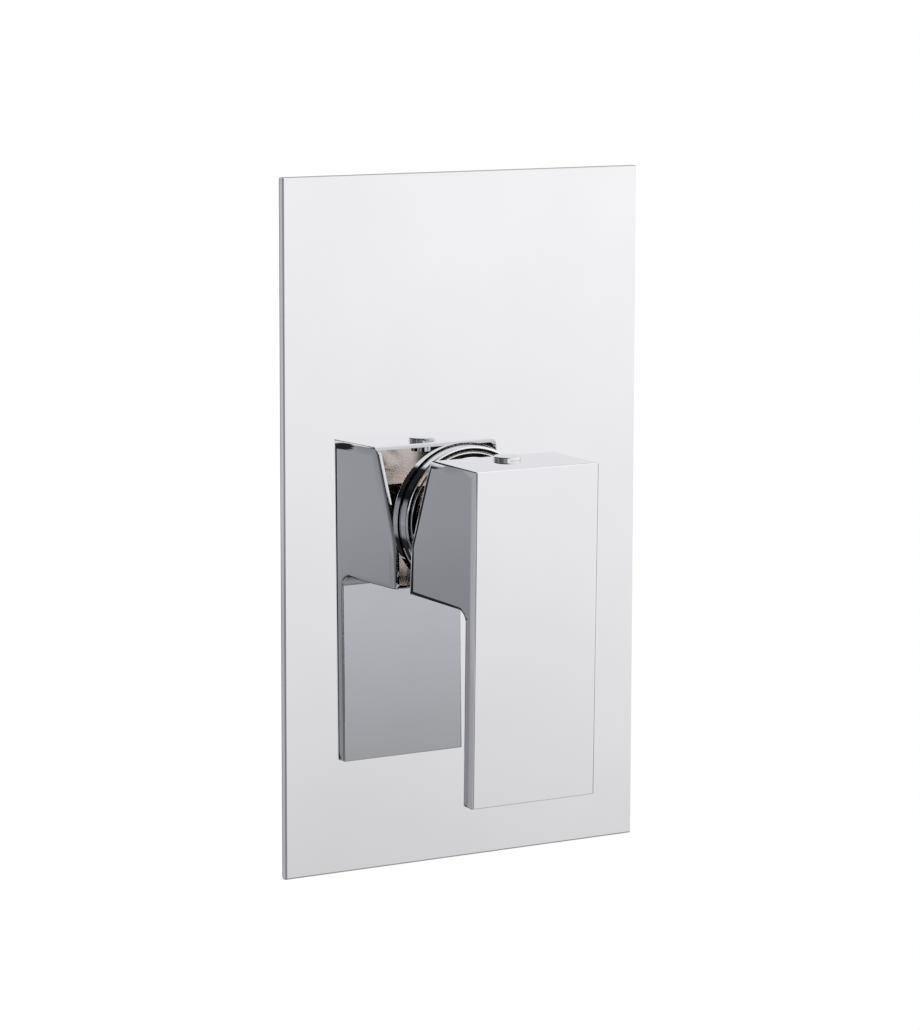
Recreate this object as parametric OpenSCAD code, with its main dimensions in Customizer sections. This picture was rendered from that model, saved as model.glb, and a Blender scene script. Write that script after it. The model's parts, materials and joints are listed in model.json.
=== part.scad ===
// Concealed single-lever shower mixer. Millimetres, +Z up.
// The origin is where the cartridge's axis meets the finished wall. The front faces -Y.
// Distances along that axis are written as u, counted forward from the wall, so y = -u.

/* [Face plate] */
// Width of the face plate
plate_w = 118; // [112:1:160]
// Height of the face plate
plate_h = 201; // [190:1:260]
// Thickness of the face plate
plate_t = 2; // [1.5:0.1:4]
// Radius of the plate's front edges
plate_edge_r = 0.5; // [0.2:0.1:0.8]
// Gap between the plate's hole and the sleeve
plate_gap = 0.3; // [0.15:0.05:0.4]
// Thickness of the foam gasket once pressed
gasket_t = 1; // [0.6:0.1:2]
// Width of the gasket's band
gasket_band = 5; // [3:0.5:9]
// Width of the drain gap in the gasket's lower run
drain_w = 16; // [8:1:40]

/* [Handle] */
// How far the handle's sides stand inside the sleeve's outer radius
side_inset = 1.2; // [0.4:0.1:2.4]
// Height of the handle's head above the axis
head_up = 20.4; // [19:0.2:24]
// Height of the handle's head below the axis
head_down = 20; // [19:0.2:24]
// Length of the paddle below the head
paddle_len = 56; // [40:1:90]
// Thickness of the paddle and of the head's front wall
paddle_t = 5.4; // [3.6:0.2:6]
// Distance from the plate to the handle's front face
reach = 40.6; // [39:0.2:50]
// Clearance between the head's lower rear edge and the sleeve
head_clear = 0.35; // [0.2:0.05:1]
// Distance from the plate to the head's upper rear edge
upper_gap = 15.1; // [14:0.1:18]
// Height below the axis at which the rear edge starts to slant
slant_drop = 5.5; // [4:0.5:9]
// Thickness of the hollow head's side walls
side_wall = 1.4; // [1.3:0.1:2]
// Thickness of the hollow head's top and bottom walls
roof_wall = 1; // [0.8:0.1:2]
// Radius of the edges that run across the handle
edge_r = 0.3; // [0.2:0.1:1.2]
// Radius of the roll along the edges of the handle's side faces
roll_r = 6; // [5:0.5:8]
// Width of that roll
roll_w = 2.8; // [1:0.1:2.9]
// Radius of the head's upper rear corner
rear_corner_r = 3.5; // [2:0.5:5]
// Radius of the inner corner between head and paddle
inner_corner_r = 3; // [1:0.5:5]
// Lean of the closed lever towards the wall, in degrees
closed_lean = 1; // [0:0.1:3]
// Distance from the plate to the grub screw's axis
grub_reach = 23.6; // [22:0.2:26]
// Radius of the round button over the grub screw
button_r = 4; // [3.6:0.1:5]
// Height of the button above the head
button_h = 1; // [0.8:0.1:3]

/* [Sleeve] */
// Outer radius of the trim sleeve
sleeve_r = 21.6; // [21.4:0.1:22.4]
// Wall thickness of the trim sleeve
sleeve_wall = 1.7; // [1.5:0.1:2]
// Height of the sleeve's rim above the plate
sleeve_out = 3.9; // [3:0.1:4.1]
// Depth of the sleeve behind the finished wall
sleeve_in = 14; // [12:1:16]
// Rise of the domed cap from its rim to its hole
cap_rise = 1.2; // [0.6:0.1:1.4]

/* [Cartridge] */
// Radius of the cartridge's shell
cart_r = 17.5; // [17:0.1:17.6]
// Distance from the plate to the stem's pivot
pivot_reach = 5; // [4.8:0.1:5.4]
// Length of the neck in front of the pivot
neck_reach = 3.2; // [3:0.1:3.6]
// Wall thickness of the neck
neck_wall = 2.25; // [2:0.05:2.5]
// Radius of the rotor's journal in the neck
journal_r = 9; // [8.8:0.1:9.2]
// Width across the square stem
stem_w = 8; // [7.6:0.1:8.2]
// Length of the stem in front of the pivot
stem_len = 23; // [22:0.5:26]
// Distance from the pivot to the centre of the stem's ball
ball_arm = 14; // [13.6:0.1:14.4]
// Radius of the stem's ball
ball_r = 3; // [2.8:0.1:3.1]
// Radius of the pivot pin
pin_r = 1.5; // [1.2:0.1:1.8]
// Full lift of the lever, in degrees
lift_angle = 25; // [20:1:25]
// Turn of the lever to each side, in degrees
turn_angle = 50; // [40:1:55]
// Thickness of the moving disc
moving_disc_t = 4; // [3:0.1:4.5]
// Thickness of the fixed disc
fixed_disc_t = 4; // [3:0.1:4.5]
// Radius of the hot and cold ports in the discs
disc_port_r = 2; // [1.6:0.1:2.1]

/* [Valve body] */
// Radius of the water ports in the cup's floor
port_r = 3; // [2.4:0.1:3.1]
// Distance from the axis to the end of the hot and the cold inlet
inlet_len = 29; // [29:1:60]
// Distance from the axis to the end of the upper and the lower outlet
outlet_len = 40; // [30:1:60]
// Radius of the round arms
arm_r = 13; // [12.5:0.5:15]
// Minor radius of the half-inch pipe thread
thread_r = 9.3; // [9.1:0.05:9.5]
// Depth of the half-inch pipe thread
thread_depth = 13; // [10:1:13]
// Radius of the waterways
waterway_r = 5.5; // [4.5:0.5:5.5]
// Distance from the axis to each fixing hole, along X and along Z
lug_pitch = 22; // [22:1:36]
// Radius of the fixing holes
lug_hole_r = 2.75; // [2.2:0.05:3.3]
// Thickness of the fixing lugs
lug_t = 5; // [4:0.5:8]

/* [Hidden] */
$fn = 64;
// Radial clearance of a running fit
run_gap = 0.05;
// Clearance of a loose fit
loose_gap = 0.15;
// Overshoot of a cutting shape past the face that it cuts
over = 1;

// Places along the axis
plate_back = gasket_t;
plate_front = plate_back + plate_t;
pivot_u = plate_front + pivot_reach;
neck_front = pivot_u + neck_reach;
ring_t = 1;
ring_depth = 2.6;
ring_front = neck_front + ring_t;
ring_rear = neck_front - ring_depth;
rim_front = plate_front + sleeve_out;
cap_front = rim_front + cap_rise;
cap_t = 0.9;
nut_front = rim_front - cap_t - 0.3;
nut_head_t = 3.1;
nut_seat = nut_front - nut_head_t;
cup_front = nut_seat - 0.1;
nut_thread_len = 4.6;
shoulder = nut_seat - nut_thread_len;
shell_top_t = 2;
cavity_front = shoulder - shell_top_t;
flange_t = 4.4;
flange_rear = cavity_front - run_gap - flange_t;
coupler_plate_t = 2.3;
coupler_front = flange_rear - 0.2;
coupler_rear = coupler_front - coupler_plate_t;
moving_rear = coupler_rear - moving_disc_t;
fixed_front = moving_rear - run_gap;
fixed_rear = fixed_front - fixed_disc_t;
base_step = fixed_rear - 3.4;
base_rear = base_step - 3;
cup_floor = base_rear - 0.4;
floor_t = 5.2;
channel_u = cup_floor - floor_t - waterway_r;
body_rear = channel_u - arm_r;

// The handle's own places
handle_w = 2 * (sleeve_r - side_inset);
handle_front = plate_front + reach;
lower_rear = rim_front + head_clear + head_down * sin(closed_lean);
upper_rear = plate_front + upper_gap;
handle_foot = -head_down - paddle_len;
wall_front = handle_front - paddle_t;
grub_u = plate_front + grub_reach;
roll_drop = roll_r - sqrt(roll_r * roll_r - roll_w * roll_w);
slant_blend_r = 8;
boss_reach = 9;
boss_rear = pivot_u + boss_reach;
web_top = 9.3;
web_t = 3.2;
web_rear = boss_rear + 1.5;
insert_wall = 1;
boss_wall = 1.5;
socket_w = stem_w + 2 * insert_wall + 2 * run_gap;
boss_w = socket_w + 2 * boss_wall;
stem_front = pivot_u + stem_len;
socket_front = stem_front + 1.5;
grub_r = 2.45;
button_pin_r = 3.2;
button_pin_len = 3;
ball_u = pivot_u - ball_arm;
rest_ball_z = ball_arm * sin(closed_lean);
open_angle = lift_angle - closed_lean;
slide_travel = ball_arm * (sin(open_angle) + sin(closed_lean));
disc_shift = slide_travel / 2;
disc_z = rest_ball_z + disc_shift;
coupler_half = ball_r + 2.2;
coupler_block_front = ball_u + 1.6;
channel_low = rest_ball_z - slide_travel - coupler_half - 0.4;
channel_high = rest_ball_z + coupler_half + 0.3;
key_w = 5;
tab_half = 10;
tab_w = 5;

// Places across the axis
bore_r = cart_r + loose_gap;
shell_wall = 1.7;
shell_bore_r = cart_r - shell_wall;
flange_r = 14;
moving_disc_r = shell_bore_r - disc_z - 0.3;
neck_r = journal_r + run_gap + neck_wall;
sleeve_bore_r = sleeve_r - sleeve_wall;
cup_r = sleeve_bore_r - 0.2;
plate_hole_r = sleeve_r + plate_gap;
collar_bore_r = sleeve_r + loose_gap;
collar_r = sleeve_r + 3.4;
collar_len = 6;
collar_groove_u = plate_back - collar_len / 2;
seal_section = 0.9;
cup_seal_inset = 6;
cup_seal_u = cup_seal_inset - sleeve_in;
plug_seal_t = 1.5;
plug_seal_r = 12;
nut_thread_r = cart_r + 1;
cup_thread_r = nut_thread_r + run_gap;
ring_wall = 1.7;
ring_r = neck_r + ring_wall;
cap_hole_r = ring_r - 0.6;
peg_r = 1.9;
peg_x = 12.4;
peg_z = -8.4;
port_seal_r = port_r + 1.3;
port_groove = 0.6;
ports = [[-9.2, -2.6], [9.2, -2.6], [0, 8.4]];
disc_inlet = [2.85, -4.9];
disc_outlet = [0, 6];
disc_outlet_r = 3.2;
disc_ports = [[-disc_inlet[0], disc_inlet[1]], disc_inlet, disc_outlet];
disc_port_radii = [disc_port_r, disc_port_r, disc_outlet_r];

// How far from the axis the leaning stem reaches at distance u, in front (1) or behind (-1) of the pivot
function slot_reach(u, side) =
    side > 0
        ? (u - pivot_u) * tan(open_angle) + stem_w / 2 / cos(open_angle) + 0.3
        : (pivot_u - u) * tan(open_angle) + (ball_r + 0.6) / cos(open_angle) + 0.3;

// Carries a drawing in x and z from u_rear forward to u_front
module slab(u_rear, u_front) {
    translate([0, -u_rear, 0])
        rotate([90, 0, 0])
            linear_extrude(u_front - u_rear)
                children();
}

// Turns a drawing of radius against u round the cartridge's axis
module turned() {
    rotate([90, 0, 0])
        rotate_extrude()
            children();
}

// Carries a drawing of u against z across the given width
module across(width) {
    rotate([90, 0, -90])
        linear_extrude(width, center = true)
            children();
}

// Round bar along the axis
module bar(r, u_rear, u_front) {
    slab(u_rear, u_front)
        circle(r);
}

// Ring along the axis
module ring(r_out, r_in, u_rear, u_front) {
    slab(u_rear, u_front)
        difference() {
            circle(r_out);
            circle(r_in);
        }
}

// Rectangle about its centre with round corners
module round_rect(w, h, r) {
    square([w - 2 * r, h], center = true);
    square([w, h - 2 * r], center = true);
    for (sx = [-1, 1])
        for (sz = [-1, 1])
            translate([sx * (w / 2 - r), sz * (h / 2 - r)])
                circle(r);
}

function unit(v) = v / norm(v);
function leg_a(c, i) = unit(c[(i + len(c) - 1) % len(c)][0] - c[i][0]);
function leg_b(c, i) = unit(c[(i + 1) % len(c)][0] - c[i][0]);
function half_angle(c, i) = acos(leg_a(c, i) * leg_b(c, i)) / 2;
function tangent(c, i) = c[i][1] / tan(half_angle(c, i));
function arc_centre(c, i) =
    c[i][0] + unit(leg_a(c, i) + leg_b(c, i)) * c[i][1] / sin(half_angle(c, i));
function turns_left(c, i) = cross(-leg_a(c, i), leg_b(c, i)) > 0;
function blunt(c, i) = c[i][1] == 0
    ? [c[i][0]]
    : [c[i][0] + leg_a(c, i) * tangent(c, i), c[i][0] + leg_b(c, i) * tangent(c, i)];

// Outline through corners given anticlockwise as [point, radius], with true arcs at the corners
module outline(c) {
    difference() {
        union() {
            polygon([for (i = [0 : len(c) - 1]) each blunt(c, i)]);
            for (i = [0 : len(c) - 1])
                if (c[i][1] > 0 && turns_left(c, i))
                    translate(arc_centre(c, i))
                        circle(c[i][1]);
        }
        for (i = [0 : len(c) - 1])
            if (c[i][1] > 0 && !turns_left(c, i))
                translate(arc_centre(c, i))
                    circle(c[i][1]);
    }
}

// Sets the lever's pieces at the closed lean about the pivot
module lean() {
    translate([0, -pivot_u, 0])
        rotate([closed_lean, 0, 0])
            translate([0, pivot_u, 0])
                children();
}

// What is cut off an edge: w along one face, outside an arc of radius r, no deeper than given
module edge_section(w, r, depth) {
    difference() {
        translate([-over, -over])
            square([w + over, depth + over]);
        translate([w, r])
            circle(r);
    }
}

// Cutter that rounds the plate's front edge at the given distance from its middle, above the hole
module plate_edge_cutter(half_height, half_length) {
    translate([-half_length - over, -plate_front, half_height])
        rotate([90, 0, 90])
            linear_extrude(2 * (half_length + over))
                mirror([0, 1])
                    edge_section(plate_edge_r, plate_edge_r, plate_edge_r);
}

module face_plate() {
    hole_bevel = 0.25;
    color("gainsboro")
        difference() {
            slab(plate_back, plate_front)
                difference() {
                    square([plate_w, plate_h], center = true);
                    circle(plate_hole_r);
                }
            turned()
                polygon([
                    [plate_hole_r - over, plate_front - hole_bevel - over],
                    [plate_hole_r + hole_bevel + over, plate_front + over],
                    [plate_hole_r - over, plate_front + over]
                ]);
            for (turn = [0, 180])
                rotate([0, turn, 0])
                    plate_edge_cutter(plate_h / 2, plate_w / 2);
            for (turn = [90, 270])
                rotate([0, turn, 0])
                    plate_edge_cutter(plate_w / 2, plate_h / 2);
        }
}

module plate_gasket() {
    inset = 0.4;
    color("dimgray")
        slab(0, plate_back)
            difference() {
                square([plate_w - 2 * inset, plate_h - 2 * inset], center = true);
                square([plate_w - 2 * (inset + gasket_band), plate_h - 2 * (inset + gasket_band)],
                       center = true);
                translate([0, -plate_h / 2])
                    square([drain_w, 4 * gasket_band], center = true);
            }
}

// Turned ring pressed on the plate's back, with an inner groove for the grip ring
module plate_collar() {
    color("silver")
        turned()
            difference() {
                translate([collar_bore_r, plate_back - collar_len])
                    square([collar_r - collar_bore_r, collar_len]);
                translate([collar_bore_r - over, collar_groove_u - seal_section])
                    square([over + 1.5 * seal_section, 2 * seal_section]);
            }
}

module grip_ring() {
    color("black")
        turned()
            intersection() {
                translate([sleeve_r + seal_section, collar_groove_u])
                    circle(seal_section);
                translate([sleeve_r + run_gap, collar_groove_u - seal_section])
                    square([1.5 * seal_section, 2 * seal_section]);
            }
}

module trim_sleeve() {
    lip_r = 0.7;
    color("gainsboro")
        turned()
            outline([
                [[sleeve_bore_r, -sleeve_in], 0],
                [[sleeve_r, -sleeve_in], 0],
                [[sleeve_r, rim_front], lip_r],
                [[sleeve_bore_r, rim_front], lip_r / 2]
            ]);
}

// Domed ring that closes the space between the sleeve and the cartridge's neck
module sleeve_cap() {
    rim_r = sleeve_bore_r - run_gap;
    cone_r = rim_r - 1.6;
    crown_r = cap_hole_r + 2.2;
    color("gainsboro")
        turned()
            outline([
                [[cap_hole_r, cap_front - cap_t], 0],
                [[crown_r, cap_front - cap_t], 1],
                [[cone_r, rim_front - cap_t], 0.4],
                [[rim_r - cap_t, rim_front - cap_t], 0],
                [[rim_r - cap_t, nut_seat + 1], 0],
                [[rim_r, nut_seat + 1], 0],
                [[rim_r, rim_front], 0.4],
                [[cone_r, rim_front], 1],
                [[crown_r, cap_front], 0.4],
                [[cap_hole_r, cap_front], 0.3]
            ]);
}

// Rubber ring in the groove round the body's cup
module sleeve_seal() {
    color("black")
        turned()
            intersection() {
                translate([sleeve_bore_r - seal_section, cup_seal_u])
                    circle(seal_section);
                translate([cup_r - seal_section, cup_seal_u - seal_section])
                    square([sleeve_bore_r - cup_r + seal_section - 0.02, 2 * seal_section]);
            }
}

module retaining_nut() {
    nut_hole_r = neck_r + 0.7;
    corner_r = sleeve_bore_r - 1.4;
    color("goldenrod")
        difference() {
            union() {
                bar(nut_thread_r, shoulder, nut_seat);
                slab(nut_seat, nut_front)
                    circle(corner_r, $fn = 6);
            }
            bar(nut_hole_r, shoulder - over, nut_front + over);
        }
}

// Round-ended fixing lug, pointing away from the axis at the given angle
module lug(angle) {
    lug_rim = 4;
    end_r = lug_hole_r + lug_rim;
    rotate(angle)
        union() {
            translate([lug_pitch * sqrt(2), 0])
                circle(end_r);
            translate([0, -end_r])
                square([lug_pitch * sqrt(2), 2 * end_r]);
        }
}

// Length of the arm that is turned by the given angle from +X
function arm_len(turn) = turn % 180 == 0 ? inlet_len : outlet_len;

// Water arm from the axis out to one connection, pointing along +X before it is turned
module arm(length) {
    hex_len = 11;
    translate([0, -channel_u, 0])
        rotate([0, 90, 0]) {
            cylinder(r = arm_r, h = length - 2);
            translate([0, 0, length - hex_len])
                cylinder(r = arm_r / cos(30), h = hex_len, $fn = 6);
        }
}

// Threaded mouth of one arm, with its lead-in
module arm_mouth(length) {
    lead_in = 1.2;
    translate([0, -channel_u, 0])
        rotate([0, 90, 0]) {
            translate([0, 0, length - thread_depth])
                cylinder(r = thread_r, h = thread_depth + over);
            translate([0, 0, length - lead_in])
                cylinder(r1 = thread_r, r2 = thread_r + lead_in + over, h = lead_in + over);
        }
}

module valve_body() {
    web = 3.5;
    inlet_end = waterway_r + web;
    hub_wall = 1.8;
    hub_len = 8;
    hub_r = cup_r + hub_wall;
    hub_front = cup_floor + hub_len;
    color("darkgoldenrod")
        difference() {
            union() {
                bar(cup_r, cup_floor, cup_front);
                bar(hub_r, body_rear + 1, hub_front);
                for (turn = [0 : 90 : 270])
                    rotate([0, turn, 0])
                        arm(arm_len(turn));
                slab(body_rear, body_rear + lug_t)
                    for (angle = [45 : 90 : 315])
                        lug(angle);
            }
            bar(bore_r, cup_floor, cup_front + over);
            bar(cup_thread_r, shoulder - 0.5, cup_front + over);
            turned()
                translate([cup_r - seal_section, cup_seal_u - seal_section])
                    square([over + seal_section, 2 * seal_section]);
            for (turn = [0 : 90 : 270])
                rotate([0, turn, 0])
                    arm_mouth(arm_len(turn));
            for (s = [-1, 1])
                translate([s * inlet_end, -channel_u, 0])
                    rotate([0, s * 90, 0])
                        cylinder(r = waterway_r, h = inlet_len - inlet_end - thread_depth + over);
            translate([0, -channel_u, 0])
                cylinder(r = waterway_r, h = 2 * (outlet_len - thread_depth + over), center = true);
            for (p = ports)
                translate([p[0], 0, p[1]])
                    bar(port_r, channel_u, cup_floor + over);
            for (s = [-1, 1])
                translate([s * peg_x, 0, peg_z])
                    bar(peg_r + loose_gap, cup_floor - 2.6, cup_floor + over);
            for (sx = [-1, 1])
                for (sz = [-1, 1])
                    translate([sx * lug_pitch, 0, sz * lug_pitch])
                        bar(lug_hole_r, body_rear - over, body_rear + lug_t + over);
        }
}

module blanking_plug() {
    head_t = 5;
    head_af = 24;
    socket_af = 10;
    socket_depth = 6;
    shank_len = 9;
    color("goldenrod")
        translate([0, -channel_u, -outlet_len - plug_seal_t])
            difference() {
                union() {
                    cylinder(r = thread_r - run_gap, h = plug_seal_t + shank_len);
                    translate([0, 0, -head_t])
                        cylinder(r = head_af / 2 / cos(30), h = head_t, $fn = 6);
                }
                translate([0, 0, -head_t - over])
                    cylinder(r = socket_af / 2 / cos(30), h = over + socket_depth, $fn = 6);
            }
}

module plug_seal() {
    color("black")
        translate([0, -channel_u, -outlet_len - plug_seal_t])
            difference() {
                cylinder(r = plug_seal_r, h = plug_seal_t);
                translate([0, 0, -over])
                    cylinder(r = thread_r + loose_gap, h = plug_seal_t + 2 * over);
            }
}

// Shell of the cartridge, open at the rear for the discs and the base
module cartridge_housing() {
    flute = 1.2;
    flute_len = 9;
    color("ivory")
        difference() {
            union() {
                bar(cart_r, base_step, shoulder);
                bar(neck_r, shoulder - over, neck_front);
            }
            bar(journal_r + run_gap, cavity_front - over, neck_front + over);
            bar(shell_bore_r, base_step - over, cavity_front);
            for (angle = [0 : 45 : 315])
                rotate([0, angle, 0])
                    translate([cart_r, 0, 0])
                        slab(base_step - over, base_step + flute_len)
                            square([flute, 3 * flute], center = true);
        }
}

// Toothed ring that limits how far the rotor's tab turns
module limit_ring() {
    window_half = turn_angle + tab_half + 2;
    teeth = 24;
    tooth = 1.1;
    color("orangered")
        difference() {
            union() {
                slab(ring_rear, ring_front)
                    circle(ring_r);
                for (i = [0 : teeth - 1])
                    rotate([0, i * 360 / teeth, 0])
                        translate([ring_r, 0, 0])
                            slab(ring_rear, ring_front - 1.2)
                                square([tooth, tooth], center = true);
            }
            bar(neck_r + run_gap, ring_rear - over, neck_front + 0.02);
            bar(journal_r + 0.5, neck_front - over, ring_front + over);
            slab(neck_front - over, ring_front + over)
                window(journal_r + 2.2, window_half);
        }
}

// Sector about the downward direction, of the given radius and half angle
module window(r, half) {
    far = 2 * r;
    intersection() {
        circle(r);
        polygon([
            [0, 0],
            far * [-sin(half), -cos(half)],
            far * [-sin(half / 2), -cos(half / 2)],
            far * [0, -1],
            far * [sin(half / 2), -cos(half / 2)],
            far * [sin(half), -cos(half)]
        ]);
    }
}

// Turns in the neck; its slot guides the stem and its channel guides the coupler
module rotor() {
    slot_w = stem_w + 2 * 0.1;
    hub_half = stem_w / 2 / cos(open_angle) + 0.3;
    slot_up = slot_reach(ring_front, 1);
    arm_down = slot_reach(flange_rear, -1);
    color("lightslategray")
        difference() {
            union() {
                bar(journal_r, cavity_front - 1, ring_front - 0.2);
                bar(flange_r, flange_rear, cavity_front - run_gap);
                slab(neck_front + run_gap, ring_front)
                    intersection() {
                        window(journal_r + 1.8, tab_half);
                        translate([0, -journal_r - 1])
                            square([journal_r, tab_w], center = true);
                    }
            }
            translate([-slot_w / 2, -ring_front - over, -hub_half])
                cube([slot_w, ring_front + over - pivot_u, slot_up + hub_half]);
            translate([-slot_w / 2, -pivot_u, -arm_down])
                cube([slot_w, pivot_u - flange_rear + over, arm_down + hub_half]);
            translate([-coupler_half - run_gap, -coupler_block_front - 0.3, channel_low])
                cube([2 * (coupler_half + run_gap), coupler_block_front + 0.3 - flange_rear + over,
                      channel_high - channel_low]);
            translate([0, -pivot_u, 0])
                rotate([0, 90, 0])
                    cylinder(r = pin_r, h = 2 * journal_r + 2, center = true);
        }
}

module pivot_pin() {
    color("silver")
        translate([0, -pivot_u, 0])
            rotate([0, 90, 0])
                cylinder(r = pin_r, h = 2 * (journal_r - 0.4), center = true);
}

// Carriage over the moving disc; the ball works in its pocket
module disc_coupler() {
    color("mediumseagreen")
        difference() {
            union() {
                translate([0, 0, disc_z])
                    bar(moving_disc_r, coupler_rear, coupler_front);
                translate([0, 0, rest_ball_z])
                    slab(coupler_rear, coupler_block_front)
                        square(2 * coupler_half, center = true);
                for (s = [-1, 1])
                    translate([s * (moving_disc_r - 1.5), 0, disc_z])
                        slab(moving_rear + 1, coupler_front - over)
                            square([1.6, key_w], center = true);
            }
            translate([0, 0, rest_ball_z])
                slab(coupler_rear + 0.6, coupler_block_front + over)
                    square(2 * (ball_r + 0.12), center = true);
        }
}

// Ceramic disc with the mixing pocket on its rear face
module moving_disc() {
    pocket_t = moving_disc_t / 2;
    pocket_w = 12;
    pocket_h = 12.8;
    pocket_up = 4.1;
    pocket_r = 3;
    color("whitesmoke")
        difference() {
            translate([0, 0, disc_z])
                bar(moving_disc_r, moving_rear, coupler_rear - 0.02);
            slab(moving_rear - over, moving_rear + pocket_t)
                translate([0, disc_z + pocket_up])
                    round_rect(pocket_w, pocket_h, pocket_r);
            for (s = [-1, 1])
                translate([s * moving_disc_r, 0, disc_z])
                    slab(moving_rear + 0.8, coupler_rear + over)
                        square([key_w, key_w + 0.2], center = true);
        }
}

// Ceramic disc with the hot, cold and outlet ports
module fixed_disc() {
    notch_w = 4.2;
    notch_depth = 2.4;
    color("white")
        difference() {
            bar(shell_bore_r - loose_gap, fixed_rear, fixed_front);
            for (i = [0 : 2])
                translate([disc_ports[i][0], 0, disc_ports[i][1]])
                    bar(disc_port_radii[i], fixed_rear - over, fixed_front + over);
            for (s = [-1, 1])
                translate([s * (shell_bore_r - 0.8), 0, 0])
                    slab(fixed_rear - over, fixed_front + over)
                        square([notch_depth, notch_w], center = true);
        }
}

// Round-ended slot between two points
module slot(p, q, r) {
    for (end = [p, q])
        translate(end)
            circle(r);
    translate(p)
        rotate(atan2(q[1] - p[1], q[0] - p[0]))
            translate([0, -r])
                square([norm(q - p), 2 * r]);
}

module cartridge_base() {
    roof_t = 1.4;
    link_t = 2.6;
    link_front = fixed_rear - roof_t;
    link_rear = link_front - link_t;
    color("ivory")
        difference() {
            union() {
                bar(shell_bore_r - run_gap, base_step - 0.5, fixed_rear);
                bar(cart_r - 0.1, base_rear, base_step);
                for (s = [-1, 1]) {
                    translate([s * peg_x, 0, peg_z])
                        bar(peg_r, cup_floor - 2.4, base_rear + 1);
                    translate([s * (shell_bore_r - 1.1), 0, 0])
                        slab(fixed_rear - 0.5, fixed_front - 1)
                            square([1.6, 4], center = true);
                }
            }
            for (i = [0 : 2]) {
                translate([disc_ports[i][0], 0, disc_ports[i][1]])
                    bar(disc_port_radii[i], link_rear, fixed_rear + over);
                slab(link_rear, link_front)
                    slot(disc_ports[i], ports[i], disc_port_r);
                translate([ports[i][0], 0, ports[i][1]]) {
                    bar(port_r, base_rear - over, link_front);
                    bar(port_seal_r + run_gap, base_rear - over, base_rear + port_groove);
                }
            }
        }
}

module port_seals() {
    color("black")
        for (p = ports)
            translate([p[0], 0, p[1]])
                ring(port_seal_r, port_r + 0.1, cup_floor, base_rear + port_groove);
}

module stem() {
    arm_r0 = ball_r - 0.6;
    color("goldenrod")
        lean()
            difference() {
                union() {
                    slab(pivot_u - stem_w / 2, stem_front)
                        square(stem_w, center = true);
                    bar(arm_r0, ball_u, pivot_u);
                    translate([0, -ball_u, 0])
                        sphere(ball_r);
                }
                translate([0, -pivot_u, 0])
                    rotate([0, 90, 0])
                        cylinder(r = pin_r + run_gap, h = stem_w + 2 * over, center = true);
            }
}

// Corners of the handle's side view with their radii: the head with its slanted upper rear, and the paddle
side_corners = [
    [[handle_front, handle_foot], edge_r],
    [[handle_front, head_up], edge_r],
    [[upper_rear, head_up], rear_corner_r],
    [[lower_rear, -slant_drop], slant_blend_r],
    [[lower_rear, -head_down], edge_r],
    [[wall_front, -head_down], inner_corner_r],
    [[wall_front, handle_foot], edge_r]
];

// The roll of each edge starts and ends in a mitre at an outer corner, or where the arc of an inner corner begins
function roll_from(c, i) = c[i][0] + leg_b(c, i) * (turns_left(c, i) ? -over : tangent(c, i));
function roll_to(c, i) = c[i][0] + leg_a(c, i) * (turns_left(c, i) ? -over : tangent(c, i));

// Cutter of the roll along the edge from one point to the next, in the side view's own axes
module edge_roll(from, to) {
    run = to - from;
    translate([from[0], from[1], -handle_w / 2])
        rotate([90, 0, atan2(run[1], run[0]) + 90])
            linear_extrude(norm(run))
                edge_section(roll_w, roll_r, roll_drop + over);
}

// Cutter of the roll round the arc of inner corner i, within the arc's own sector
module corner_roll(c, i) {
    centre = arc_centre(c, i);
    far = 1 + (roll_w + 2 * over) / c[i][1];
    ends = [blunt(c, i)[0] - centre, c[i][0] - centre, blunt(c, i)[1] - centre];
    translate([centre[0], centre[1], -handle_w / 2])
        intersection() {
            rotate_extrude()
                translate([c[i][1], 0])
                    edge_section(roll_w, roll_r, roll_drop + over);
            translate([0, 0, -2 * over])
                linear_extrude(roll_drop + 4 * over)
                    polygon([[0, 0], far * ends[0], far * ends[1], far * ends[2]]);
        }
}

// Rolls along the whole outline of one side face
module side_rolls() {
    corners = len(side_corners);
    rotate([90, 0, -90])
        for (i = [0 : corners - 1]) {
            edge_roll(roll_from(side_corners, i), roll_to(side_corners, (i + 1) % corners));
            if (!turns_left(side_corners, i))
                corner_roll(side_corners, i);
        }
}

module handle_body() {
    difference() {
        across(handle_w)
            outline(side_corners);
        side_rolls();
        mirror([1, 0, 0])
            side_rolls();
    }
}

// Hollow of the head, open at the rear
module head_hollow() {
    hollow_w = handle_w - 2 * side_wall;
    hollow_h = head_up + head_down - 2 * roof_wall;
    hollow_corner_r = 1;
    translate([0, 0, (head_up - head_down) / 2])
        slab(0, wall_front)
            round_rect(hollow_w, hollow_h, hollow_corner_r);
}

// Socket boss on the head's front wall, and the web above it that takes the grub screw
module head_boss() {
    root = 0.5;
    slab(boss_rear, wall_front + root)
        round_rect(boss_w, boss_w, boss_wall);
    slab(web_rear, wall_front + root)
        translate([0, web_top - web_t / 2])
            square([handle_w - side_wall, web_t], center = true);
}

module handle() {
    color("gainsboro")
        lean()
            difference() {
                union() {
                    difference() {
                        handle_body();
                        head_hollow();
                    }
                    head_boss();
                }
                slab(boss_rear - over, socket_front)
                    square(socket_w, center = true);
                translate([0, -grub_u, 0])
                    cylinder(r = grub_r + run_gap, h = head_up + over);
                translate([0, -grub_u, head_up - button_pin_len - 0.2])
                    cylinder(r = button_pin_r + run_gap, h = button_pin_len + over);
            }
}

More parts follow.
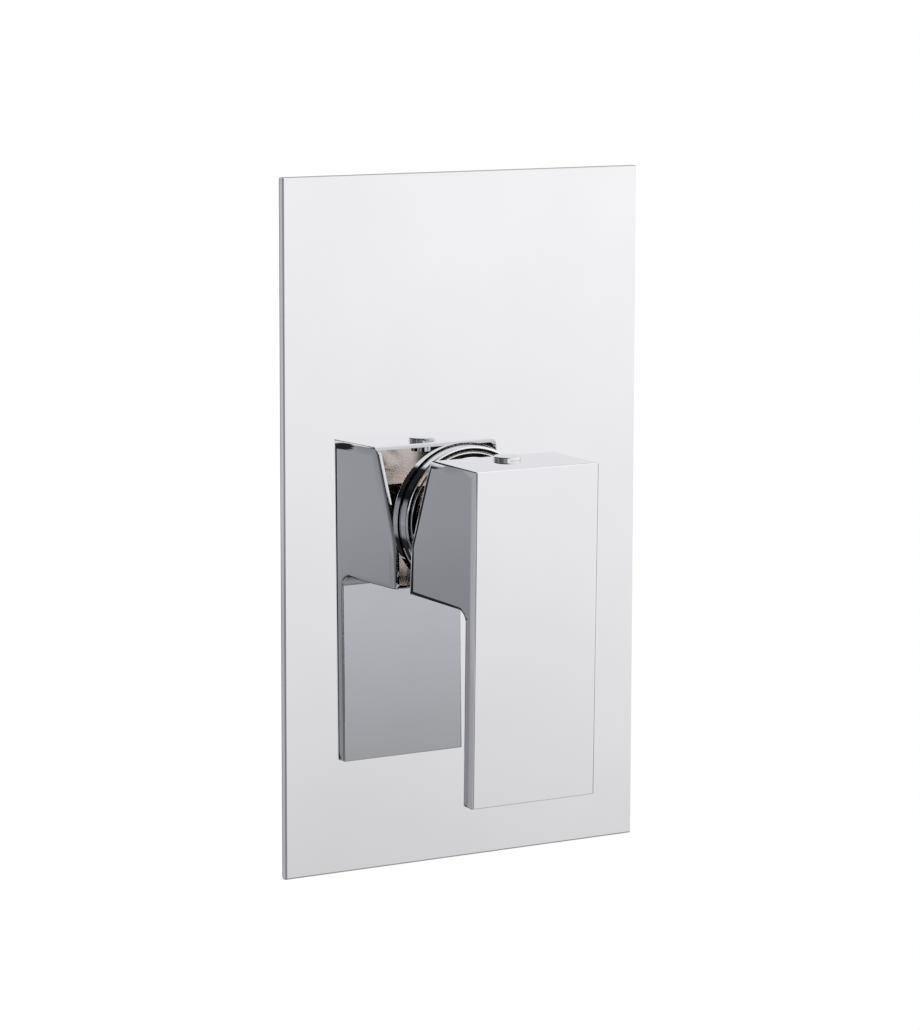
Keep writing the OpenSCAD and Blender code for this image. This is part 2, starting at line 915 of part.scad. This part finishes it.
module handle_insert() {
    color("dimgray")
        lean()
            difference() {
                slab(boss_rear + 0.2, socket_front - 0.3)
                    difference() {
                        square(stem_w + 2 * insert_wall, center = true);
                        square(stem_w + 2 * run_gap, center = true);
                    }
                translate([0, -grub_u, 0])
                    cylinder(r = grub_r + loose_gap, h = stem_w);
            }
}

module grub_screw() {
    screw_len = web_top - stem_w / 2 - 0.3;
    socket_depth = 2.5;
    socket_r = 1.45;
    color("slategray")
        lean()
            translate([0, -grub_u, stem_w / 2 + 0.02])
                difference() {
                    union() {
                        translate([0, 0, 1])
                            cylinder(r = grub_r, h = screw_len - 1);
                        cylinder(r1 = grub_r - 1, r2 = grub_r, h = 1);
                    }
                    translate([0, 0, screw_len - socket_depth])
                        cylinder(r = socket_r, h = socket_depth + over, $fn = 6);
                }
}

// Round button that closes the grub screw's hole
module handle_cap() {
    lip = 0.4;
    color("gainsboro")
        lean()
            translate([0, -grub_u, head_up]) {
                rotate_extrude()
                    outline([
                        [[0, 0.02], 0],
                        [[button_r, 0.02], 0],
                        [[button_r, button_h], lip],
                        [[0, button_h], 0]
                    ]);
                translate([0, 0, -button_pin_len])
                    cylinder(r = button_pin_r, h = button_pin_len + 0.5);
            }
}

face_plate();
plate_gasket();
plate_collar();
grip_ring();
trim_sleeve();
sleeve_cap();
sleeve_seal();
retaining_nut();
valve_body();
blanking_plug();
plug_seal();
cartridge_housing();
limit_ring();
cartridge_base();
port_seals();
fixed_disc();
rotor();
pivot_pin();
disc_coupler();
moving_disc();
stem();
handle();
handle_insert();
grub_screw();
handle_cap();
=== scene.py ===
import json
import math

import bmesh
import bpy
from mathutils import Matrix, Vector


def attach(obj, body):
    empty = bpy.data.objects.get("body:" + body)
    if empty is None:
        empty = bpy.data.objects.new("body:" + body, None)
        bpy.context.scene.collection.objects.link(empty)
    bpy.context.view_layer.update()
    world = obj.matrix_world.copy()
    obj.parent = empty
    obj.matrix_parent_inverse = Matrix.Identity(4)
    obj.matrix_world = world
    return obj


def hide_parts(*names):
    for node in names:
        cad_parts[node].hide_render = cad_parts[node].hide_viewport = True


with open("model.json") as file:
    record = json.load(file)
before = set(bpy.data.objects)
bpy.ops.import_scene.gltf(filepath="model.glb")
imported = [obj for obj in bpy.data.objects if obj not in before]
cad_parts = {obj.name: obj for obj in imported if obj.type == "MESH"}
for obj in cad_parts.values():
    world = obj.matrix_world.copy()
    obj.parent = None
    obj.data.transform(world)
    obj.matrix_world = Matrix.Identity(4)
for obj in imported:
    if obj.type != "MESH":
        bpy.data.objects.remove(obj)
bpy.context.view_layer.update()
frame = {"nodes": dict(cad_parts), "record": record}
nodes = frame["nodes"]
scene = bpy.context.scene

# Lengths are in metres. At rest the lever's pieces lean a little about the stem's pivot.
PIVOT = (0, -0.008, 0)
LEAN = math.radians(1)


# ---------- node helpers ----------

class Tree:
    """Short ways to add and join shader nodes in one node tree."""

    def __init__(self, owner):
        owner.use_nodes = True
        self.tree = owner.node_tree
        self.tree.nodes.clear()

    def node(self, kind, **settings):
        """New shader node of this kind, with its settings."""
        new = self.tree.nodes.new("ShaderNode" + kind)
        for name, value in settings.items():
            setattr(new, name, value)
        return new

    def put(self, value, socket):
        """Joins an output to a socket, or sets the socket's own value."""
        if isinstance(value, bpy.types.NodeSocket):
            self.tree.links.new(value, socket)
        else:
            socket.default_value = value

    def fill(self, values, sockets):
        """Puts each value in the socket at its place."""
        for value, socket in zip(values, sockets):
            self.put(value, socket)

    def math(self, operation, a, b=0.0, c=0.0, clamp=False):
        """Number worked out from up to three others."""
        new = self.node("Math", operation=operation, use_clamp=clamp)
        self.fill((a, b, c), new.inputs)
        return new.outputs[0]

    def product(self, first, *others):
        """All the numbers multiplied, so 1 where every test among them holds."""
        for other in others:
            first = self.math("MULTIPLY", first, other)
        return first

    def within(self, value, half):
        """1 where the value lies nearer to 0 than this half width, else 0."""
        return self.math("LESS_THAN", self.math("ABSOLUTE", value), half)

    def ramp(self, value, stops):
        """Number that runs straight between (position, result) stops, with positions from 0 to 1."""
        new = self.node("ValToRGB")
        elements = new.color_ramp.elements
        while len(elements) < len(stops):
            elements.new(0.5)
        for element, (position, result) in zip(elements, stops):
            element.position = position
            element.color = (result, result, result, 1)
        self.put(value, new.inputs[0])
        return new.outputs[0]

    def fade(self, value, start, end):
        """Straight rise from 0 at start to 1 at end."""
        return self.ramp(value, [(start, 0.0), (end, 1.0)])

    def curve(self, value, points):
        """Number that runs straight between (value, result) points of any size."""
        low, high = points[0][0], points[-1][0]
        place = self.math("DIVIDE", self.math("SUBTRACT", value, low), high - low)
        return self.ramp(place, [((v - low) / (high - low), result) for v, result in points])

    def step(self, value, start, end):
        """Soft step from 0 at start to 1 at end."""
        new = self.node("MapRange", interpolation_type="SMOOTHSTEP")
        self.fill((value, start, end), new.inputs)
        return new.outputs[0]

    # A Mix node has its factor in socket 0, its numbers in sockets 2 and 3, and its colours in 6 and 7.
    def blend(self, factor, a, b):
        """Number between a and b."""
        new = self.node("Mix", data_type="FLOAT")
        self.fill((factor, a, b), (new.inputs[0], new.inputs[2], new.inputs[3]))
        return new.outputs[0]

    def mix(self, factor, a, b, kind="MIX"):
        """Colour between a and b, or of another kind of mix."""
        new = self.node("Mix", data_type="RGBA", blend_type=kind)
        a, b = ((*value, 1) if isinstance(value, tuple) else value for value in (a, b))
        self.fill((factor, a, b), (new.inputs[0], new.inputs[6], new.inputs[7]))
        return new.outputs[2]

    def place(self):
        """The point's own place on the piece, in metres."""
        return self.node("TexCoord").outputs["Object"]

    def axes(self, vector):
        """The x, y and z of a vector."""
        new = self.node("SeparateXYZ")
        self.put(vector, new.inputs[0])
        return new.outputs

    def noise(self, scale, detail, rough=0.6, stretch=None):
        """Noise fixed to the piece, drawn out along each axis whose stretch is small."""
        new = self.node("TexNoise")
        for name, value in (("Scale", scale), ("Detail", detail), ("Roughness", rough)):
            new.inputs[name].default_value = value
        place = self.place()
        if stretch:
            mapping = self.node("Mapping")
            mapping.inputs["Scale"].default_value = stretch
            self.put(place, mapping.inputs[0])
            place = mapping.outputs[0]
        self.put(place, new.inputs["Vector"])
        return new.outputs["Fac"]

    def bump(self, height, strength, distance):
        """Normal of a surface with this relief."""
        new = self.node("Bump")
        new.inputs["Strength"].default_value = strength
        new.inputs["Distance"].default_value = distance
        self.put(height, new.inputs["Height"])
        return new.outputs[0]

    def surface(self, shader, kind="OutputMaterial"):
        """Joins the shader to the tree's output."""
        self.put(shader.outputs[0], self.node(kind).inputs[0])


def material(name):
    mat = bpy.data.materials.new(name)
    return mat, Tree(mat)


def principled(t, colour, rough, metal=0.0, normal=None, coat=0.0):
    p = t.node("BsdfPrincipled")
    t.put(colour, p.inputs["Base Color"])
    t.put(rough, p.inputs["Roughness"])
    p.inputs["Metallic"].default_value = metal
    p.inputs["Coat Weight"].default_value = coat
    if normal is not None:
        t.put(normal, p.inputs["Normal"])
    return p


# ---------- materials ----------

CHROME = (0.76, 0.775, 0.785)
# Light and dark shade of a material.
HANDLE_CHROME = (0.8, 0.81, 0.825), (0.775, 0.785, 0.8)
BRASS = (0.8, 0.62, 0.33), (0.64, 0.48, 0.25)
BLACK_RUBBER = (0.05, 0.05, 0.052), (0.02, 0.02, 0.02)

# The plate's polish ends at this y, just before its back.
POLISH_END = -0.0012

# The open room in the handle's head, with the handle upright.
ROOM_X = 0.01905      # half its width
ROOM_Z = 0.01925      # half its height
ROOM_MID = 0.0002     # height of its middle
ROOM_FRONT = -0.0383  # y of its front wall
# The wall side of the paddle, with the handle upright, where its chrome gets painted shade.
BACK_X = 0.02035      # half its width
BACK_TOP = -0.0198    # its upper end
BACK_Y = -0.0401      # a y between it and the front


def polish(t, light, dull, haze):
    """Colour and roughness of polished chrome, with faint clouds and wipe marks."""
    clouds = t.fade(t.noise(18, 4), 0.35, 0.75)
    wipes = t.fade(t.noise(220, 3, stretch=(1, 1, 0.08)), 0.45, 0.8)
    return t.mix(clouds, light, dull), t.math("MULTIPLY_ADD", wipes, haze, 0.012)


def chrome(name, satin_behind=None):
    """Mirror chrome, with brushed metal behind the given y."""
    mat, t = material(name)
    dull = tuple(0.965 * part for part in CHROME)
    colour, rough = polish(t, CHROME, dull, 0.035)
    if satin_behind is not None:
        hidden = t.math("GREATER_THAN", t.axes(t.place())[1], satin_behind)
        grain = t.math("MULTIPLY_ADD", t.noise(900, 3, stretch=(1, 1, 0.03)), 0.2, 0.22)
        rough = t.math("MAXIMUM", rough, t.product(hidden, grain))
    t.surface(principled(t, colour, rough, 1.0))
    return mat


def handle_chrome():
    """Chrome outside, and the bare, slightly golden casting in the open head."""
    mat, t = material("handle_chrome")
    upright = t.node("VectorRotate", rotation_type="X_AXIS")
    upright.inputs["Center"].default_value = PIVOT
    upright.inputs["Angle"].default_value = -LEAN
    t.put(t.place(), upright.inputs["Vector"])
    x, y, z = t.axes(upright.outputs[0])
    inside = t.product(t.within(x, ROOM_X), t.within(t.math("SUBTRACT", z, ROOM_MID), ROOM_Z),
                       t.math("GREATER_THAN", y, ROOM_FRONT))
    tint, rough = polish(t, *HANDLE_CHROME, 0.03)
    # Painted shade: the chrome of the paddle's wall side is darkened towards the foot.
    back = t.product(t.math("LESS_THAN", z, BACK_TOP), t.math("GREATER_THAN", y, BACK_Y), t.within(x, BACK_X))
    shade = t.curve(z, [(-0.076, 0.73), (-0.066, 0.775), (-0.038, 0.92), (-0.02, 0.98)])
    tint = t.mix(back, tint, t.mix(1.0, tint, shade, "MULTIPLY"))
    outer = principled(t, tint, rough, 1.0)
    swell = t.noise(160, 2, 0.5)
    stain = t.noise(90, 4)
    cast = t.mix(t.fade(stain, 0.3, 0.7), (0.86, 0.78, 0.72), (0.76, 0.67, 0.6))
    inner = principled(t, cast, t.math("MULTIPLY_ADD", stain, 0.08, 0.1), 1.0, t.bump(swell, 0.04, 0.0002))
    both = t.node("MixShader")
    t.fill((inside, outer.outputs[0], inner.outputs[0]), both.inputs)
    t.surface(both)
    return mat


def rubber(name, light, dark, scale=1500):
    """Dull rubber or fibre with a fine speck."""
    mat, t = material(name)
    speck = t.noise(scale, 3)
    colour = t.mix(t.fade(speck, 0.3, 0.7), dark, light)
    rough = t.math("MULTIPLY_ADD", speck, 0.2, 0.6)
    t.surface(principled(t, colour, rough, 0, t.bump(speck, 0.3, 0.0001)))
    return mat


def foam():
    """Foam with small round cells."""
    mat, t = material("gasket_foam")
    cells = t.node("TexVoronoi")
    cells.inputs["Scale"].default_value = 1400
    t.put(t.place(), cells.inputs["Vector"])
    pit = cells.outputs["Distance"]
    colour = t.mix(t.fade(pit, 0.1, 0.6), (0.2, 0.2, 0.21), (0.34, 0.34, 0.35))
    t.surface(principled(t, colour, 0.92, 0, t.bump(pit, 0.5, 0.0003)))
    return mat


def plastic(name, light, dark, rough=0.32):
    """Moulded plastic with faint flow marks and a fine spark-eroded skin."""
    mat, t = material(name)
    flow = t.noise(60, 3, 0.5)
    skin = t.noise(2500, 2, 0.5)
    colour = t.mix(t.fade(flow, 0.35, 0.7), light, dark)
    uneven = t.math("MULTIPLY_ADD", flow, 0.12, rough)
    t.surface(principled(t, colour, uneven, 0, t.bump(skin, 0.15, 0.00004)))
    return mat


def cast_brass():
    """Sand-cast brass with broad stains and small dark pits."""
    mat, t = material("cast_brass")
    grain = t.noise(1100, 6, 0.7)
    stain = t.noise(45, 4)
    colour = t.mix(t.fade(stain, 0.3, 0.7), (0.66, 0.49, 0.25), (0.47, 0.34, 0.18))
    pits = t.ramp(grain, [(0.3, 0.35), (0.55, 0.0)])
    colour = t.mix(pits, colour, (0.24, 0.17, 0.1))
    rough = t.math("MULTIPLY_ADD", grain, 0.25, 0.32)
    t.surface(principled(t, colour, rough, 0.9, t.bump(grain, 0.45, 0.0003)))
    return mat


def turned_metal(name, light, dark, rough=0.2):
    """Turned metal with fine tool lines round the cartridge's axis."""
    mat, t = material(name)
    lines = t.noise(500, 3, stretch=(0.02, 6, 0.02))
    stain = t.noise(50, 3)
    colour = t.mix(t.fade(stain, 0.35, 0.7), light, dark)
    uneven = t.math("MULTIPLY_ADD", lines, 0.18, rough)
    t.surface(principled(t, colour, uneven, 1.0, t.bump(lines, 0.12, 0.00005)))
    return mat


def ceramic():
    """Ground ceramic with a faint clear coat."""
    mat, t = material("disc_ceramic")
    speck = t.noise(1800, 4, 0.7)
    colour = t.mix(t.fade(speck, 0.4, 0.75), (0.86, 0.855, 0.83), (0.74, 0.735, 0.71))
    t.surface(principled(t, colour, t.math("MULTIPLY_ADD", speck, 0.1, 0.12), coat=0.2))
    return mat


looks = {
    "face_plate": chrome("plate_chrome", satin_behind=POLISH_END),
    "trim_sleeve": chrome("sleeve_chrome"),
    "sleeve_cap": chrome("cap_chrome"),
    "handle": handle_chrome(),
    "handle_cap": chrome("button_chrome"),
    "plate_gasket": foam(),
    "plate_collar": turned_metal("collar_zinc", (0.56, 0.57, 0.6), (0.44, 0.45, 0.48), 0.3),
    "grip_ring": rubber("grip_rubber", *BLACK_RUBBER),
    "sleeve_seal": rubber("seal_rubber", *BLACK_RUBBER),
    "port_seals": rubber("port_rubber", (0.06, 0.055, 0.055), (0.025, 0.02, 0.02)),
    "plug_seal": rubber("plug_fibre", (0.42, 0.13, 0.08), (0.28, 0.08, 0.05), 700),
    "retaining_nut": turned_metal("nut_brass", *BRASS, 0.18),
    "valve_body": cast_brass(),
    "blanking_plug": turned_metal("plug_brass", *BRASS, 0.22),
    "cartridge_housing": plastic("housing_plastic", (0.8, 0.78, 0.7), (0.74, 0.72, 0.64)),
    "cartridge_base": plastic("base_plastic", (0.78, 0.76, 0.68), (0.7, 0.68, 0.6)),
    "limit_ring": plastic("limit_plastic", (0.07, 0.07, 0.075), (0.05, 0.05, 0.055)),
    "fixed_disc": ceramic(),
    "moving_disc": ceramic(),
    "rotor": plastic("rotor_plastic", (0.3, 0.31, 0.34), (0.24, 0.25, 0.28)),
    "disc_coupler": plastic("coupler_plastic", (0.13, 0.36, 0.22), (0.09, 0.28, 0.17)),
    "handle_insert": plastic("insert_plastic", (0.09, 0.09, 0.1), (0.06, 0.06, 0.065), 0.45),
    "stem": turned_metal("stem_brass", *BRASS),
    "pivot_pin": turned_metal("pin_steel", (0.6, 0.61, 0.63), (0.5, 0.51, 0.53), 0.15),
    "grub_screw": turned_metal("grub_steel", (0.32, 0.32, 0.34), (0.22, 0.22, 0.24), 0.3),
}
for name, mat in looks.items():
    slots = nodes[name].data.materials
    slots.clear()
    slots.append(mat)


# ---------- handle ----------

def piece(name, bm, mat, sharp_degrees):
    """New piece from a finished bmesh, smooth except where faces meet at more than this angle."""
    mesh = bpy.data.meshes.new(name)
    bm.to_mesh(mesh)
    bm.free()
    mesh.shade_smooth()
    mesh.set_sharp_from_angle(angle=math.radians(sharp_degrees))
    mesh.materials.append(mat)
    obj = bpy.data.objects.new(name, mesh)
    scene.collection.objects.link(obj)
    return obj


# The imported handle.
HALF_W = 0.0204       # half its width
ROLL_R = 0.006        # radius of the rolled edges of its sides
ROLL_W = 0.0028       # width of these rolls
ROLL_DROP = ROLL_R - math.sqrt(ROLL_R ** 2 - ROLL_W ** 2)  # how far they fall back
FRONT_Y = -0.0436     # y of its front
HEAD_FOOT = -0.02     # lower end of its head
PADDLE_T = 0.0054     # thickness of its paddle

# The finer shell made from it.
FINE = 0.48           # share of their size that the rolls under the head and on the paddle's wall side keep
SWELL = 0.00035       # how much further out the sides stand
EDGE_SOFT = 0.0003    # width of the softened corners
THIN_T = 0.00446      # thickness of the paddle in its middle
THIN_TURN = 0.014     # thickness that it loses with each metre to the right
THIN_RUN = 0.003      # height, from the head's lower end down, over which it grows thin
CORNER = 0.6          # least angle between the faces of a softened corner, in radians

# Lengths closer than this count as the same.
NEAR = 5e-6


def roll_ways(vert):
    """The directions from a roll's vertex to its two edges, and the share of its size that each roll keeps.

    On a single roll both directions are the same. Where opposite rolls meet, there are none.
    """
    ways = []
    for face in vert.link_faces:
        # A roll's faces look nearly sideways and lean a little towards their edge.
        lean = Vector((0, face.normal.y, face.normal.z))
        if 0.8 < abs(face.normal.x) < 0.99995 and lean.length > 0.005:
            ways.append(lean.normalized())
    if not ways:
        return []
    pair = min(((a, b) for a in ways for b in ways), key=lambda two: two[0].dot(two[1]))
    if pair[0].dot(pair[1]) < -0.5:
        return []
    on_paddle = vert.co.z < HEAD_FOOT + 0.0005
    return [(way, FINE if way.z < -0.5 or on_paddle and way.y > 0 else 1) for way in pair]


def towards_edge(ways, reach):
    """Move that brings a point this far from its edges to each roll's share of that distance."""
    (a, share_a), (b, share_b) = ways
    near, far, turn = reach * (1 - share_a), reach * (1 - share_b), a.dot(b)
    if turn > 0.98:
        return a * near
    return (a * (near - turn * far) + b * (far - turn * near)) / (1 - turn * turn)


def narrow_rolls(bm):
    """Moves the vertices of both sides to the finer rolls, and gives back those on the rolls' outer edges."""
    moves, rims = {}, set()
    for vert in bm.verts:
        drop = HALF_W - abs(vert.co.x)
        if drop > ROLL_DROP + NEAR:
            continue
        drop = max(drop, 0)
        along = math.sqrt(max(ROLL_R ** 2 - (ROLL_R - drop) ** 2, 0))
        ways = roll_ways(vert)
        move = towards_edge(ways, ROLL_W - along) if ways else Vector()
        share = (ways[0][1] + ways[1][1]) / 2 if ways else 1
        move.x = math.copysign(HALF_W + SWELL - drop * share, vert.co.x) - vert.co.x
        moves[vert] = move
        if drop > ROLL_DROP - NEAR:
            rims.add(vert)
    for vert, move in moves.items():
        vert.co += move
    return rims


def thin_paddle(bm):
    """Draws the paddle's wall side towards its front."""
    for vert in bm.verts:
        if vert.co.z < HEAD_FOOT:
            thick = (THIN_T - THIN_TURN * vert.co.x) / PADDLE_T
            part = min(1, (HEAD_FOOT - vert.co.z) / THIN_RUN)
            vert.co.y = FRONT_Y + (vert.co.y - FRONT_Y) * (1 - part * (1 - thick))


def fine_handle():
    """The handle with crisper edges: its rolls drawn in towards the corners, and each corner softened."""
    upright = Matrix.Translation(PIVOT) @ Matrix.Rotation(-LEAN, 4, "X") @ Matrix.Translation(-Vector(PIVOT))
    bm = bmesh.new()
    bm.from_mesh(nodes["handle"].data)
    bmesh.ops.remove_doubles(bm, verts=bm.verts, dist=1e-6)
    bmesh.ops.transform(bm, matrix=upright, verts=bm.verts)
    bmesh.ops.dissolve_limit(bm, angle_limit=math.radians(0.4), verts=bm.verts, edges=bm.edges)
    bm.normal_update()
    rims = narrow_rolls(bm)
    thin_paddle(bm)
    bm.normal_update()
    corners = [e for e in bm.edges if rims.issuperset(e.verts) and e.calc_face_angle(0) > CORNER]
    bmesh.ops.bevel(bm, geom=corners, offset=EDGE_SOFT, segments=3, profile=0.5, affect="EDGES")
    bmesh.ops.transform(bm, matrix=upright.inverted(), verts=bm.verts)
    shell = piece("handle_shell", bm, looks["handle"], sharp_degrees=28)
    # The broad flats keep their own normals, and the rolls and softened corners turn between them.
    even = shell.modifiers.new("even", "WEIGHTED_NORMAL")
    even.weight = 100
    even.keep_sharp = True
    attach(shell, "lever")
    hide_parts("handle")


fine_handle()


# ---------- port threads ----------

# Half-inch pipe thread in the ports.
BORE_R = 0.0093       # radius of the ports' bores
FOOT_IN = 0.0001      # how deep the ridge is set in the bore's wall
PITCH = 0.001814
RIDGE = 0.0004        # height of the ridge
RIDGE_HALF = 0.0004   # half the width of its foot
THREAD_FROM = 0.0016  # depth in the port at which it starts
THREAD_TO = 0.0112    # depth at which it ends
STEPS = 36            # steps in one turn
FADE = 9              # steps over which it rises and dies away


def add_thread(bm, mouth, axis):
    """Helical ridge in the port whose mouth is here, with the axis pointing out of it."""
    across = axis.orthogonal().normalized()
    count = int((THREAD_TO - THREAD_FROM) / PITCH * STEPS)
    rows = []
    for i in range(count + 1):
        out = Matrix.Rotation(2 * math.pi * i / STEPS, 3, axis) @ across
        centre = mouth - axis * (THREAD_FROM + PITCH * i / STEPS)
        crest = BORE_R - RIDGE * min(1, i / FADE, (count - i) / FADE)
        foot = centre + out * (BORE_R + FOOT_IN)
        corners = centre + out * crest, foot + axis * RIDGE_HALF, foot - axis * RIDGE_HALF
        rows.append([bm.verts.new(corner) for corner in corners])
    for one, two in zip(rows, rows[1:]):
        for j, k in ((0, 1), (1, 2), (2, 0)):
            bm.faces.new((one[j], one[k], two[k], two[j]))
    bm.faces.new(rows[0])
    bm.faces.new(rows[-1][::-1])


def port_threads():
    """Thread ridges in the two inlets and the outlet."""
    bm = bmesh.new()
    for mount in frame["record"]["mounts"]:
        if mount["kind"] == "threaded_hole":
            add_thread(bm, Vector(mount["pos_m"]), Vector(mount["axis"]))
    bmesh.ops.recalc_face_normals(bm, faces=bm.faces)
    ridge = piece("port_threads", bm, turned_metal("thread_brass", *BRASS), sharp_degrees=30)
    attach(ridge, "mixer_body")


port_threads()


# ---------- camera ----------

# The camera, as fitted to the photo.
AROUND = -30.837      # degrees round the object, from its front to the right
ABOVE = 8.575         # degrees above it
ROLL = 0.108          # degrees of roll
FOCAL_PIXELS = 3906.3
PHOTO_PIXELS = 1030   # height of the photo
AIM = Vector((0, -0.003, 0))  # middle of the plate's front
DISTANCE = 1.13414    # of the camera from there
SHIFT_RIGHT = -0.001017
SHIFT_UP = 0.000888
SENSOR_MM = 36


def photo_camera():
    """The camera that took the photo."""
    az, el, roll = (math.radians(angle) for angle in (AROUND, ABOVE, ROLL))
    back = Vector((math.sin(az) * math.cos(el), -math.cos(az) * math.cos(el), math.sin(el)))
    level_right = Vector((math.cos(az), math.sin(az), 0))
    level_up = back.cross(level_right)
    right = level_right * math.cos(roll) + level_up * math.sin(roll)
    up = -level_right * math.sin(roll) + level_up * math.cos(roll)
    lens = bpy.data.cameras.new("camera")
    lens.sensor_fit = "VERTICAL"
    lens.sensor_height = SENSOR_MM
    lens.lens = FOCAL_PIXELS / PHOTO_PIXELS * SENSOR_MM
    lens.clip_start = 0.01
    camera = bpy.data.objects.new("camera", lens)
    scene.collection.objects.link(camera)
    place = AIM + back * DISTANCE + right * SHIFT_RIGHT + up * SHIFT_UP
    camera.matrix_world = Matrix.Translation(place) @ Matrix((right, up, back)).transposed().to_4x4()
    scene.camera = camera


photo_camera()


# ---------- surroundings ----------

FLOOR_Z = -0.25
FLOOR_R = 0.35


def floor():
    """Pale floor, white to the camera, that keeps the object's soft shadow."""
    bpy.ops.mesh.primitive_circle_add(vertices=96, radius=FLOOR_R, fill_type="NGON", location=(0, 0, FLOOR_Z))
    plane = bpy.context.object
    plane.name = "floor"
    mat, t = material("floor_pale")
    matt = t.node("BsdfDiffuse")
    t.put(t.mix(t.noise(40, 3, 0.5), (0.36, 0.36, 0.36), (0.38, 0.38, 0.38)), matt.inputs[0])
    glow = t.node("Emission")
    rays = t.node("LightPath").outputs
    seen = t.math("MAXIMUM", rays["Is Camera Ray"], rays["Is Transmission Ray"])
    t.fill(((1, 1, 1, 1), t.product(seen, 0.66)), glow.inputs)
    both = t.node("AddShader")
    t.fill((matt.outputs[0], glow.outputs[0]), both.inputs)
    t.surface(both)
    plane.data.materials.append(mat)


def studio():
    """Soft studio, white to the camera: bright on the right, grey on the left, with a dark gap between."""
    world = bpy.data.worlds.new("studio")
    scene.world = world
    t = Tree(world)
    x, y, z = t.axes(t.node("TexCoord").outputs["Generated"])
    degrees = 180 / math.pi
    # Angle round the object from the front to the right, and height above the horizon, in degrees.
    around = t.product(t.math("ARCTAN2", x, t.product(y, -1)), degrees)
    height = t.product(t.math("ARCSINE", z), degrees)
    bright = t.product(
        t.curve(around, [
            (-60, 0.9), (11, 0.93), (29, 0.97), (34, 1.02), (90, 1.06), (118, 0.6), (140, 0.36), (180, 0.4)]),
        t.curve(height, [
            (-90, 0.4), (-21, 0.5), (-13, 0.69), (-11, 0.765), (-10, 0.79), (-7, 0.86), (-5.4, 0.9),
            (-4, 0.92), (3.4, 1.0), (6, 0.92), (8, 0.88), (11, 0.88), (30, 0.97), (50, 0.75), (90, 0.6)]))
    grey = t.product(
        t.curve(around, [
            (-180, 0.55), (-152, 0.62), (-142, 0.44), (-136, 0.42), (-112, 0.47), (-104, 0.47), (-94, 0.18),
            (-62, 0.2), (-52, 0.48), (-45, 0.46), (-31, 0.42), (-29, 0.46), (-22, 0.48)]),
        t.curve(height, [
            (-90, 0.05), (-25, 0.05), (-22, 0.6), (-13, 0.68), (-9.9, 0.68), (-8.6, 0.83), (0, 0.72),
            (8, 0.6), (12, 0.02), (50, 0.02), (75, 0.7)]))
    gap = t.curve(height, [
        (-90, 0.02), (-1, 0.02), (1.5, 0.9), (11, 0.95), (16, 0.02), (50, 0.02), (75, 0.7)])
    # From left to right: grey up to -27, the gap from -24 to -8, and bright from -4 on, also right behind.
    left = t.blend(t.step(around, -27, -24), grey, gap)
    side = t.math("DIVIDE", t.math("ADD", around, 8), 4, clamp=True)
    behind = t.step(around, -165, -179)
    value = t.blend(t.math("MAXIMUM", side, behind), left, bright)
    tone = t.mix(side, (1.26, 1.25, 1.33), (1.28, 1.25, 1.27))
    pale = t.mix(1.0, value, tone, "MULTIPLY")
    light = t.node("Background")
    t.put(t.mix(t.node("LightPath").outputs["Is Camera Ray"], pale, (1, 1, 1)), light.inputs[0])
    t.surface(light, "OutputWorld")


def lamp(name, place, size, power):
    """Soft square lamp aimed at the object, that no mirror and no camera shows."""
    data = bpy.data.lights.new(name, "AREA")
    data.shape = "SQUARE"
    data.size = size
    data.energy = power
    obj = bpy.data.objects.new(name, data)
    scene.collection.objects.link(obj)
    obj.location = place
    obj.rotation_euler = (-Vector(place)).to_track_quat("-Z", "Y").to_euler()
    obj.visible_glossy = False
    obj.visible_camera = False


floor()
studio()
lamp("key_light", (0.9, -1.2, 1.2), 0.9, 14)
lamp("fill_light", (-1.2, -0.9, 0.6), 1.0, 6)
lamp("back_light", (0.2, 1.4, 0.9), 1.0, 16)

scene.view_settings.view_transform = "Standard"
